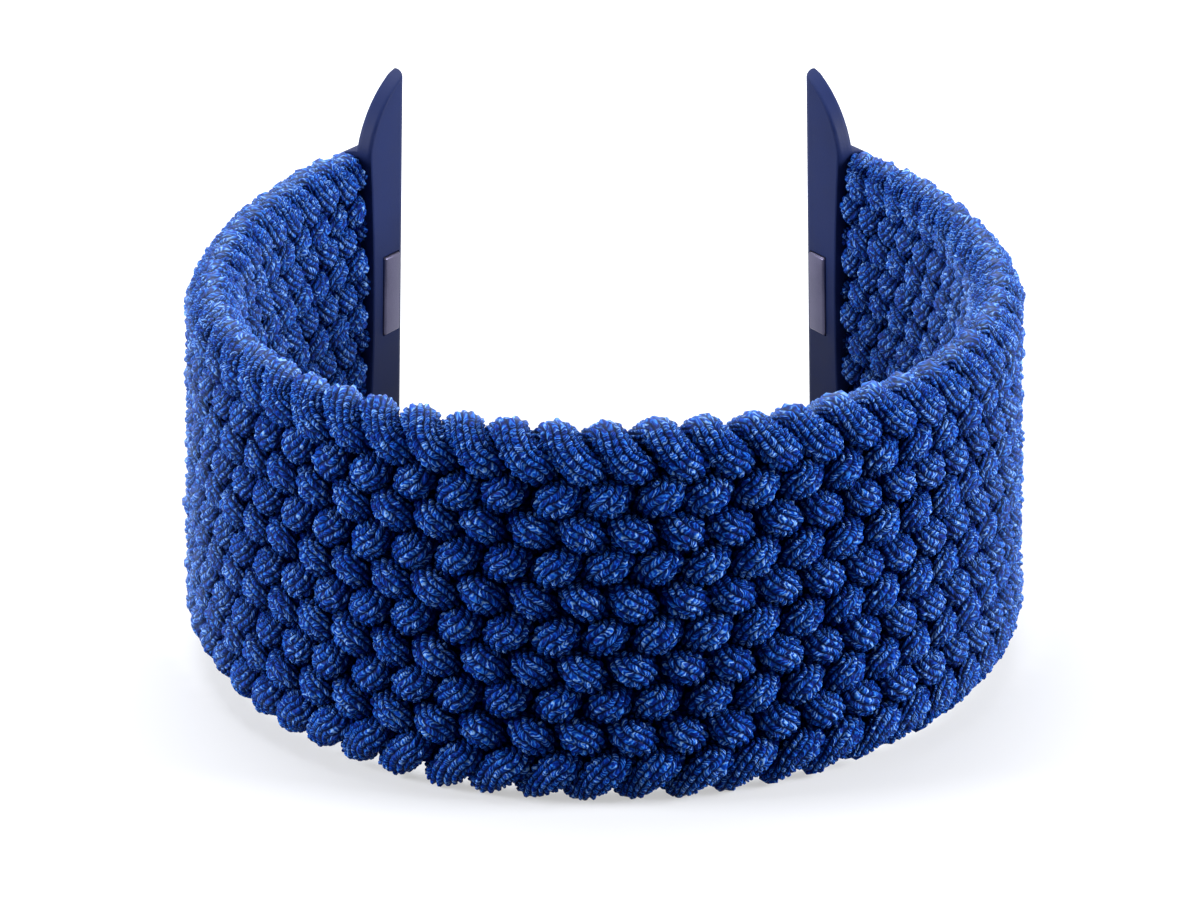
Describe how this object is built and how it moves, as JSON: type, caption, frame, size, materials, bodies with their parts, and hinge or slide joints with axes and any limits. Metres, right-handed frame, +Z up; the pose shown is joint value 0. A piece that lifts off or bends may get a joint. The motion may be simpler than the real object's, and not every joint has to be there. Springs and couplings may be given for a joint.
{
  "type": "braided loop watch strap",
  "caption": "Braided nylon loop watch strap with slide-in lugs and sprung latches.",
  "frame": {"origin": "middle of the footprint, on the surface that the strap stands on", "axes": "+Z up, +Y from the front of the loop to the gap between the lugs, +X to the right seen from the front; the loop rests tilted 4.3 degrees about X, because the lugs are longer than the braid is wide"},
  "size_m": [0.041, 0.0458, 0.0239],
  "materials": {
    "nylon_cord": "round knitted cord of nylon filament over an elastic core, royal blue",
    "moulded_lug": "moulded glass-filled nylon, dark blue, fine satin",
    "welded_nylon": "melted and pressed cord ends",
    "stainless_latch": "fine-blasted stainless steel",
    "stainless_pin": "drawn stainless wire",
    "spring_steel": "rolled stainless spring strip"
  },
  "bodies": {
    "strap": {"cord_01": "nylon_cord", "cord_02": "nylon_cord", "cord_03": "nylon_cord", "cord_04": "nylon_cord", "cord_05": "nylon_cord", "cord_06": "nylon_cord", "cord_07": "nylon_cord", "cord_08": "nylon_cord", "cord_09": "nylon_cord", "cord_10": "nylon_cord", "cord_11": "nylon_cord", "left_lug": "moulded_lug", "left_tabs": "welded_nylon", "left_latch_pin": "stainless_pin", "left_latch_spring": "spring_steel", "right_lug": "moulded_lug", "right_tabs": "welded_nylon", "right_latch_pin": "stainless_pin", "right_latch_spring": "spring_steel"},
    "left_latch": {"left_latch": "stainless_latch"},
    "right_latch": {"right_latch": "stainless_latch"}
  },
  "joints": [
    {"name": "left_latch_press", "type": "slide", "parent": "strap", "child": "left_latch", "axis": [-0.8517, 0.5188, 0.0742], "range_m": [0, 0.0004], "stiffness_N_per_m": 4000, "springref_m": -0.00025, "deforming": ["left_latch_spring"]},
    {"name": "right_latch_press", "type": "slide", "parent": "strap", "child": "right_latch", "axis": [0.8517, 0.5188, 0.0742], "range_m": [0, 0.0004], "stiffness_N_per_m": 4000, "springref_m": -0.00025, "deforming": ["right_latch_spring"]}
  ]
}
